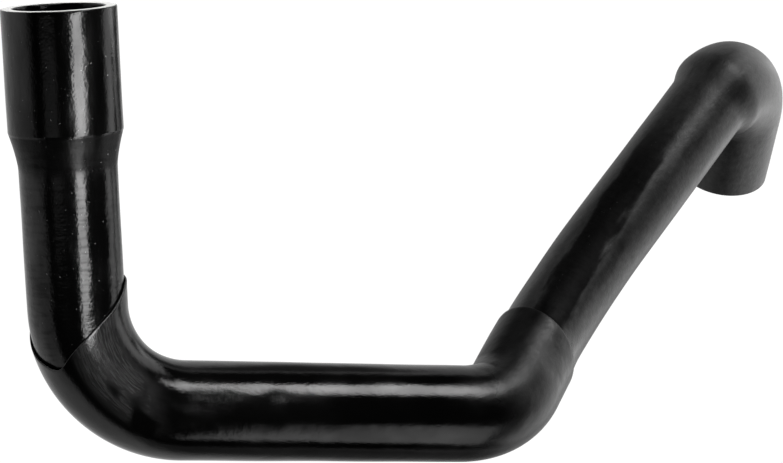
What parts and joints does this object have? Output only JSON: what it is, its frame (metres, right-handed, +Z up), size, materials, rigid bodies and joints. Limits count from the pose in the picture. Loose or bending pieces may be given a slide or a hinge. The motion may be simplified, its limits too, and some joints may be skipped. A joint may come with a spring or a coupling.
{
  "type": "radiator hose",
  "caption": "Moulded rubber coolant hose with a wider cuff at each end, bends in several planes and a thin protective sleeve around its first two bends.",
  "frame": {"origin": "middle of the box around the hose as it lies, on the floor", "axes": "+Z up, +X along the longest side from the cuff to the tail, the cuff's mouth opening towards +Y"},
  "size_m": [0.4558, 0.204, 0.0869],
  "materials": {
    "hose_rubber": "satin black, smooth moulded surface",
    "sleeve_rubber": "satin black, thin and smooth"
  },
  "bodies": {
    "root": {"hose": "hose_rubber", "protective_sleeve": "sleeve_rubber"}
  },
  "joints": []
}
